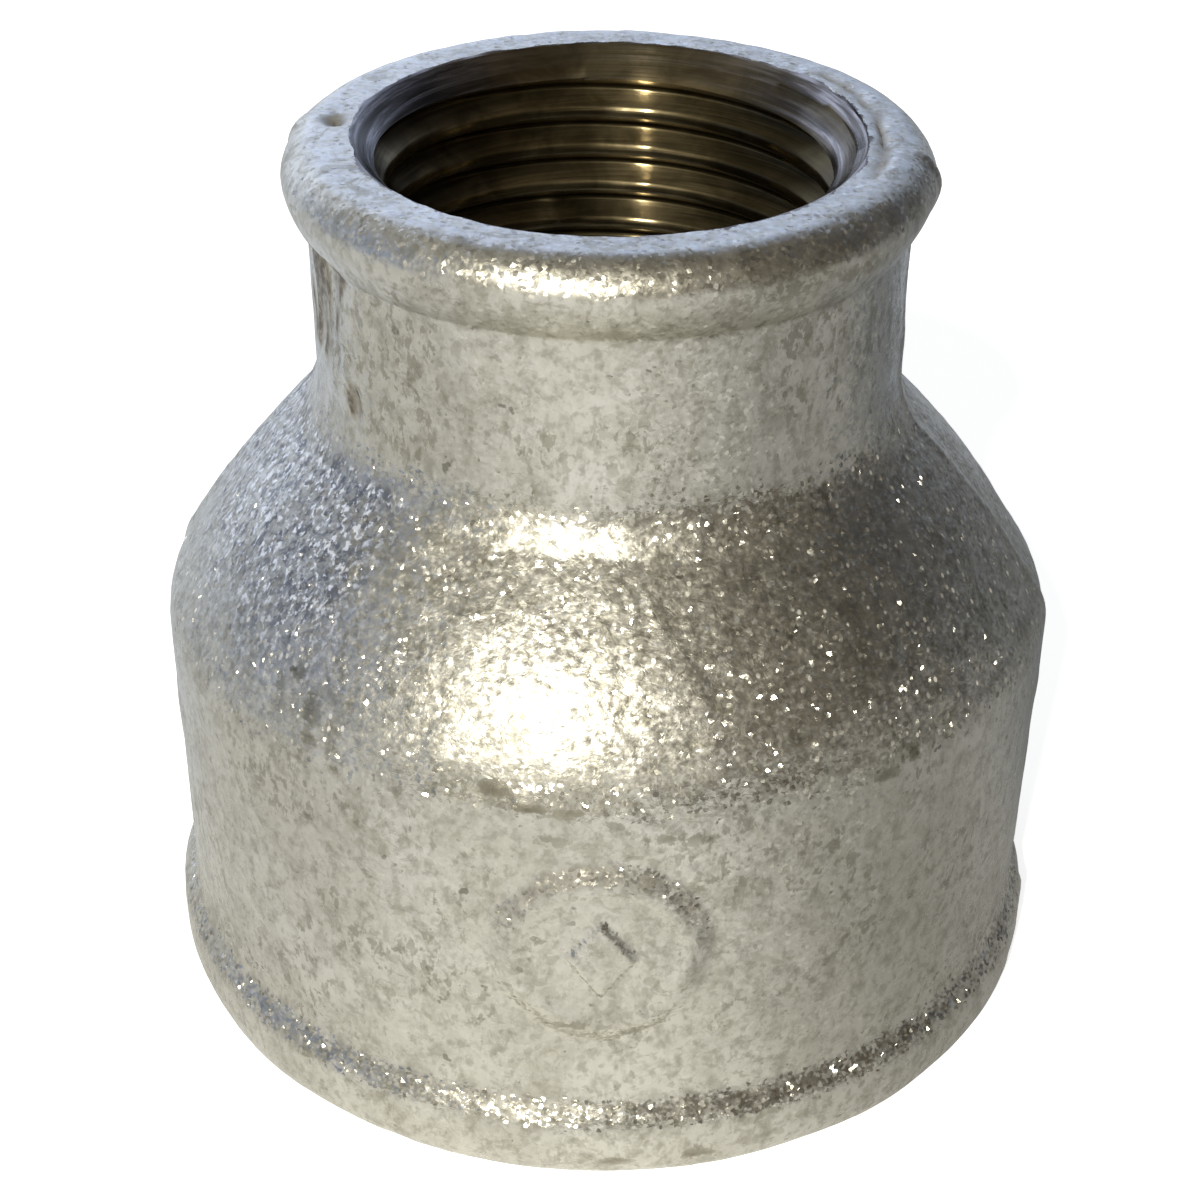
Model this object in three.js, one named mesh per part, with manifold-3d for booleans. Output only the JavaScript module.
// Concentric reducer: a reducing socket in galvanised malleable iron, with an
// internal 1" pipe thread in the large end and an internal 1/2" pipe thread in
// the small end. It is one casting with both threads cut into it.
//
// Millimetres. Origin at the centre of the large end face, +Z along the common
// axis of the two bores, towards the small end. The raised ring is on the -Y side.
import * as THREE from 'three';
import { mergeVertices } from 'three/addons/utils/BufferGeometryUtils.js';
import Module from 'manifold-3d';

const INCH = 25.4;
const LENGTH = 40.5;            // end face to end face

// ---- large barrel and the band round its end ----
const BODY_R = 20.25;
const BODY_WAIST_R = 20.08;     // the barrel narrows a little just above the band
const BODY_WAIST_Z = 5.3;
const BASE_FACE_R = 19.85;      // outer edge of the flat large end face
const BASE_BAND_R = 20.72;
const BASE_BAND_LOW_Z = 1.7;    // the band is fullest between these two heights
const BASE_BAND_HIGH_Z = 2.9;
const BASE_BAND_TOP_Z = 4.3;    // where its rounded top edge meets the barrel

// ---- cone and neck ----
const SHOULDER_Z = 19.15;       // barrel and cone lines meet here
const SHOULDER_FILLET = 1.8;
const CONE_CROWN = 0.3;         // how far the cone bulges outwards
const NECK_Z = 28.8;            // cone and neck lines meet here
const NECK_R = 12.8;
const NECK_FILLET = 5.5;
const NECK_TOP_R = 12.9;

// ---- rim round the small end ----
const RIM_H = 3.55;
const RIM_R = 13.9;
const RIM_MID_DROP = 1.5;       // fullest point of the rim below the small end face
const RIM_FACE_R = 12.45;       // outer edge of the flat small end face
const RIM_START_Z = LENGTH - RIM_H;
const RIM_MID_Z = LENGTH - RIM_MID_DROP;

// ---- segments round the axis ----
const OUTER_SEGMENTS = 56;
const LARGE_BORE_SEGMENTS = 40;
const SMALL_BORE_SEGMENTS = 32;
const MARK_SKIN_SEGMENTS = 192;
const RING_CURVE_SEGMENTS = 14;

// ---- threads: crestZ is the height of one crest's middle on the +X side ----
const FLANK_ANGLE = THREE.MathUtils.degToRad(55 / 2);  // from square to the axis
const ROOT_FLAT = 0.14;         // root flat as a share of the pitch

const LARGE_THREAD = {
  pitch: INCH / 11,
  majorR: 33.249 / 2,
  minorR: 30.291 / 2,
  crestZ: 1.1,
  segments: LARGE_BORE_SEGMENTS,
};
const LARGE_THREAD_LEN = 16.2;

const SMALL_THREAD = {
  pitch: INCH / 14,
  majorR: 20.955 / 2,
  minorR: 19.1 / 2,             // crests truncated a little, as tapped
  crestZ: 33.58,
  segments: SMALL_BORE_SEGMENTS,
};
const SMALL_THREAD_LEN = 8;     // full thread
const SMALL_RUNOUT = 3.6;       // then it fades out
const SMALL_THREAD_END_Z = LENGTH - SMALL_THREAD_LEN - SMALL_RUNOUT;

const FACE_OVERCUT = 0.2;       // threads are cut this far past the end faces
const THROAT_OVERCUT = 0.6;     // and the small plug this far below its runout

// ---- mouth chamfers: radii at the end face and at the given depth ----
const LARGE_MOUTH = { faceR: 17.35, boreR: 15.2, depth: 1.75 };
const SMALL_MOUTH = { faceR: 11, boreR: 9.5, depth: 1.35 };
const CHAMFER_FACE_OVERCUT = 1;
const CHAMFER_BORE_OVERCUT = 0.6;

// ---- cored space between the two threads ----
const CORE_R = 16.95;           // relief behind the large thread
const CORE_START_Z = LARGE_THREAD_LEN;
const CORE_OVERLAP = 2;         // how far the core reaches down into the large bore
const CORE_OVERLAP_INSET = 1;   // and how far inside the thread crests it stays there
const CORE_FLARE_BELOW = 0.4;   // the flare out to CORE_R spans CORE_START_Z
const CORE_FLARE_ABOVE = 0.8;
const CORE_SHOULDER_Z = 18.6;
const CORE_SHOULDER_H = 0.9;    // bevel between the relief and the cone
const CORE_SHOULDER_INSET = 0.35;
const CORE_END_R = 8.8;         // the cone closes to this
const CORE_END_Z = 28.9;

// ---- raised ring with a plain lozenge inside it, cast on the barrel ----
const MARK_Z = 12.4;
const RING_OUTER_R = 4.65;
const RING_INNER_R = 3.6;
const LOZENGE_HALF_W = 1.35;
const LOZENGE_HALF_H = 1.9;
const MARK_PROUD = 0.32;
const MARK_ROOT = 3;            // the plates start this far inside BODY_R
const MARK_PLATE_DEPTH = 6;
const MARK_SKIN_Z = [5, 19];    // ends of the cylinder that trims the plates

// ---- solids ----
const wasm = await Module();
wasm.setup();

// A manifold from a closed geometry, whichever way its faces wind.
function solid(geometry) {
  const bare = new THREE.BufferGeometry();
  bare.setAttribute('position', geometry.attributes.position);
  bare.setIndex(geometry.index);
  const merged = mergeVertices(bare, 1e-4);
  const positions = merged.attributes.position.array;
  const indices = merged.index.array;

  const triangles = [];
  let volume = 0;                // six times the signed volume
  const corners = [0, 1, 2].map(() => new THREE.Vector3());
  for (let i = 0; i < indices.length; i += 3) {
    const [a, b, c] = indices.subarray(i, i + 3);
    if (a === b || b === c || c === a) continue;
    triangles.push([a, b, c]);
    [a, b, c].forEach((index, j) => corners[j].fromArray(positions, index * 3));
    volume += corners[0].dot(corners[1].cross(corners[2]));
  }
  // A negative volume means that the faces point inwards.
  const outward = volume < 0 ? triangles.map(([a, b, c]) => [a, c, b]) : triangles;
  return new wasm.Manifold(new wasm.Mesh({
    numProp: 3,
    vertProperties: new Float32Array(positions),
    triVerts: new Uint32Array(outward.flat()),
  }));
}

function geometryOf(manifold) {
  const mesh = manifold.getMesh();
  const geometry = new THREE.BufferGeometry();
  const positions = new Float32Array(mesh.vertProperties);
  geometry.setAttribute('position', new THREE.BufferAttribute(positions, 3));
  geometry.setIndex(new THREE.BufferAttribute(new Uint32Array(mesh.triVerts), 1));
  geometry.computeVertexNormals();
  return geometry;
}

// A turned solid about +Z from [radius, z] points that start and end on the axis.
function turned(profile, segments) {
  const points = profile.map(([radius, z]) => new THREE.Vector2(radius, z));
  const geometry = new THREE.LatheGeometry(points, segments);
  geometry.rotateX(Math.PI / 2);
  return solid(geometry);
}

// ---- profile curves, as [radius, z] points ----
// The arc that rounds the given corner between the lines to before and after.
function fillet(before, corner, after, radius, steps) {
  const apex = new THREE.Vector2(...corner);
  const back = new THREE.Vector2(...before).sub(apex).normalize();
  const ahead = new THREE.Vector2(...after).sub(apex).normalize();
  const halfAngle = Math.acos(back.dot(ahead)) / 2;
  const tangentLength = radius / Math.tan(halfAngle);
  const bisector = back.clone().add(ahead).normalize();
  const centre = apex.clone().addScaledVector(bisector, radius / Math.sin(halfAngle));
  const angleTo = (direction) => (
    apex.clone().addScaledVector(direction, tangentLength).sub(centre).angle()
  );

  const startAngle = angleTo(back);
  let sweep = angleTo(ahead) - startAngle;
  // go the short way round
  if (sweep > Math.PI) sweep -= 2 * Math.PI;
  if (sweep < -Math.PI) sweep += 2 * Math.PI;

  const points = [];
  for (let i = 0; i <= steps; i++) {
    const angle = startAngle + (sweep * i) / steps;
    points.push([centre.x + radius * Math.cos(angle), centre.y + radius * Math.sin(angle)]);
  }
  return points;
}

// A cubic from start to end that leaves and arrives along the given tangents.
function hermite(start, end, startTangent, endTangent, steps) {
  const points = [];
  for (let i = 0; i <= steps; i++) {
    const s = i / steps;
    const startWeight = 2 * s ** 3 - 3 * s ** 2 + 1;
    const startTangentWeight = s ** 3 - 2 * s ** 2 + s;
    const endWeight = -2 * s ** 3 + 3 * s ** 2;
    const endTangentWeight = s ** 3 - s ** 2;
    points.push([0, 1].map((axis) => (
      startWeight * start[axis] + startTangentWeight * startTangent[axis]
      + endWeight * end[axis] + endTangentWeight * endTangent[axis]
    )));
  }
  return points;
}

// Points inside the line from start to end, pushed outwards by up to the crown.
function crownedLine(start, end, crown) {
  const run = end[0] - start[0];
  const rise = end[1] - start[1];
  const length = Math.hypot(run, rise);
  return [0.33, 0.67].map((s) => {
    const bulge = crown * 4 * s * (1 - s);
    return [
      start[0] + run * s + (rise / length) * bulge,
      start[1] + rise * s - (run / length) * bulge,
    ];
  });
}

// ---- outside of the casting ----
function outside() {
  const baseEdge = hermite(
    [BASE_FACE_R, 0], [BASE_BAND_R, BASE_BAND_LOW_Z], [1.6, 0], [0, 2], 3,
  );
  const bandTop = hermite(
    [BASE_BAND_R, BASE_BAND_HIGH_Z], [BODY_WAIST_R, BASE_BAND_TOP_Z], [0, 1.9], [-0.9, 0.35], 5,
  );

  const waist = [BODY_WAIST_R, BODY_WAIST_Z];
  const coneStart = [BODY_R, SHOULDER_Z];
  const coneEnd = [NECK_R, NECK_Z];
  const neckTop = [NECK_TOP_R, RIM_START_Z];
  const shoulder = fillet(waist, coneStart, coneEnd, SHOULDER_FILLET, 3);
  const neck = fillet(coneStart, coneEnd, neckTop, NECK_FILLET, 4);
  const cone = crownedLine(shoulder.at(-1), neck[0], CONE_CROWN);

  const rimMiddle = [RIM_R, RIM_MID_Z];
  const rimLower = hermite(neckTop, rimMiddle, [1.4, 0.9], [0, 1.5], 3);
  const rimUpper = hermite(rimMiddle, [RIM_FACE_R, LENGTH], [0, 2], [-2, 0], 4);

  return turned([
    [0, 0],
    ...baseEdge,
    ...bandTop,
    waist,
    ...shoulder,
    ...cone,
    ...neck,
    ...rimLower,
    ...rimUpper.slice(1),        // its first point ends rimLower
    [0, LENGTH],
  ], OUTER_SEGMENTS);
}

// ---- raised marks: plates along Y trimmed to a cylinder just proud of the barrel ----
function raisedMark(shape, curveSegments) {
  const plate = new THREE.ExtrudeGeometry(shape, {
    depth: MARK_PLATE_DEPTH,
    bevelEnabled: false,
    curveSegments,
  });
  plate.rotateX(Math.PI / 2);    // shape's y becomes +Z, depth runs towards -Y
  plate.translate(0, -(BODY_R - MARK_ROOT), MARK_Z);

  const skinR = BODY_R + MARK_PROUD;
  const [bottom, top] = MARK_SKIN_Z;
  const skin = turned([[0, bottom], [skinR, bottom], [skinR, top], [0, top]], MARK_SKIN_SEGMENTS);
  return solid(plate).intersect(skin);
}

function raisedRing() {
  const ring = new THREE.Shape();
  ring.absarc(0, 0, RING_OUTER_R, 0, 2 * Math.PI, false);
  const hole = new THREE.Path();
  hole.absarc(0, 0, RING_INNER_R, 0, 2 * Math.PI, true);
  ring.holes.push(hole);
  return raisedMark(ring, RING_CURVE_SEGMENTS);
}

function raisedLozenge() {
  const corners = [
    [LOZENGE_HALF_W, 0], [0, LOZENGE_HALF_H],
    [-LOZENGE_HALF_W, 0], [0, -LOZENGE_HALF_H],
  ];
  return raisedMark(new THREE.Shape(corners.map(([x, y]) => new THREE.Vector2(x, y))), 1);
}

// ---- cored space: relief, then a cone that closes towards the small thread ----
function core() {
  const overlapR = LARGE_THREAD.minorR - CORE_OVERLAP_INSET;
  const overlapZ = CORE_START_Z - CORE_OVERLAP;
  return turned([
    [0, overlapZ],
    [overlapR, overlapZ],
    [overlapR, CORE_START_Z - CORE_FLARE_BELOW],
    [CORE_R, CORE_START_Z + CORE_FLARE_ABOVE],
    [CORE_R, CORE_SHOULDER_Z],
    [CORE_R - CORE_SHOULDER_INSET, CORE_SHOULDER_Z + CORE_SHOULDER_H],
    [CORE_END_R, CORE_END_Z],
    [0, CORE_END_Z],
  ], LARGE_BORE_SEGMENTS);
}

// ---- a threaded plug: the space an internal thread leaves ----
// Rows of points follow the right-hand helix, so every row's end at one full
// turn is the start of the row one pitch higher. Four rows a pitch give the
// crest flat and the root flat. depthAt(z) is the share of full depth there.
function threadPlug({ pitch, majorR, minorR, crestZ, segments, bottomZ, topZ, depthAt }) {
  const depth = majorR - minorR;
  const flank = depth * Math.tan(FLANK_ANGLE);
  const root = ROOT_FLAT * pitch;
  const crest = pitch - 2 * flank - root;
  const rows = [
    { rise: 0, cut: 0 },
    { rise: crest / pitch, cut: 0 },
    { rise: (crest + flank) / pitch, cut: 1 },
    { rise: (crest + flank + root) / pitch, cut: 1 },
  ];
  // the rows start at the highest crest that lies a whole turn below bottomZ
  const crestStart = crestZ - crest / 2;
  const startZ = crestStart - pitch * Math.ceil((crestStart - bottomZ) / pitch + 1);
  const turns = Math.ceil((topZ - startZ) / pitch);
  const rowCount = turns * rows.length;

  // one more turn of rows supplies the points where the last rows end
  const vertices = [];
  for (let row = 0; row <= rowCount + rows.length; row++) {
    const turn = Math.floor(row / rows.length);
    const { rise, cut } = rows[row % rows.length];
    for (let i = 0; i < segments; i++) {
      const z = startZ + pitch * (turn + rise + i / segments);
      const radius = minorR + depth * cut * depthAt(z);
      const angle = (2 * Math.PI * i) / segments;
      vertices.push(radius * Math.cos(angle), radius * Math.sin(angle), z);
    }
  }
  const pointAt = (row, i) => (
    i === segments ? (row + rows.length) * segments : row * segments + i
  );

  const triangles = [];
  for (let row = 0; row < rowCount; row++) {
    for (let i = 0; i < segments; i++) {
      const lowStart = pointAt(row, i);
      const lowEnd = pointAt(row, i + 1);
      const highEnd = pointAt(row + 1, i + 1);
      const highStart = pointAt(row + 1, i);
      triangles.push(lowStart, lowEnd, highEnd, lowStart, highEnd, highStart);
    }
  }

  // a fan over one turn of a row and the step from its end back to its start
  const addCap = (row, z, facesDown) => {
    const centre = vertices.length / 3;
    vertices.push(0, 0, z);
    const loop = [];
    for (let i = 0; i <= segments; i++) loop.push(pointAt(row, i));
    for (let j = rows.length - 1; j > 0; j--) loop.push(pointAt(row + j, 0));
    loop.forEach((point, i) => {
      const next = loop[(i + 1) % loop.length];
      triangles.push(centre, ...(facesDown ? [next, point] : [point, next]));
    });
  };
  addCap(0, startZ, true);
  addCap(rowCount, startZ + pitch * (turns + 0.5), false);

  const geometry = new THREE.BufferGeometry();
  geometry.setAttribute('position', new THREE.Float32BufferAttribute(vertices, 3));
  geometry.setIndex(triangles);
  return solid(geometry);
}

function largeThread() {
  return threadPlug({
    ...LARGE_THREAD,
    bottomZ: -FACE_OVERCUT,
    topZ: LARGE_THREAD_LEN,
    depthAt: () => 1,
  });
}

// The small thread fades out downwards into a short plain throat.
function smallThread() {
  return threadPlug({
    ...SMALL_THREAD,
    bottomZ: SMALL_THREAD_END_Z - THROAT_OVERCUT,
    topZ: LENGTH + FACE_OVERCUT,
    depthAt: (z) => THREE.MathUtils.clamp((z - SMALL_THREAD_END_Z) / SMALL_RUNOUT, 0, 1),
  });
}

// A mouth's chamfer; inward is the Z direction (+1 or -1) from the face into the bore.
function mouthChamfer({ faceR, boreR, depth }, faceZ, inward) {
  // the cone runs on past the face and into the bore
  const slope = (faceR - boreR) / depth;
  const outerZ = faceZ - inward * CHAMFER_FACE_OVERCUT;
  const innerZ = faceZ + inward * (depth + CHAMFER_BORE_OVERCUT);
  return turned([
    [0, outerZ],
    [faceR + slope * CHAMFER_FACE_OVERCUT, outerZ],
    [boreR - slope * CHAMFER_BORE_OVERCUT, innerZ],
    [0, innerZ],
  ], OUTER_SEGMENTS);
}

// ---- build ----
const casting = outside()
  .add(raisedRing())
  .add(raisedLozenge())
  .subtract(core())
  .subtract(largeThread())
  .subtract(mouthChamfer(LARGE_MOUTH, 0, 1))
  .subtract(smallThread())
  .subtract(mouthChamfer(SMALL_MOUTH, LENGTH, -1));

const galvanisedIron = new THREE.MeshStandardMaterial({
  color: 0x9c9c97,
  roughness: 0.5,
  metalness: 0.85,
});

const reducer = new THREE.Mesh(geometryOf(casting), galvanisedIron);
reducer.name = 'reducer_casting';

const model = new THREE.Group();
model.add(reducer);

export default model;
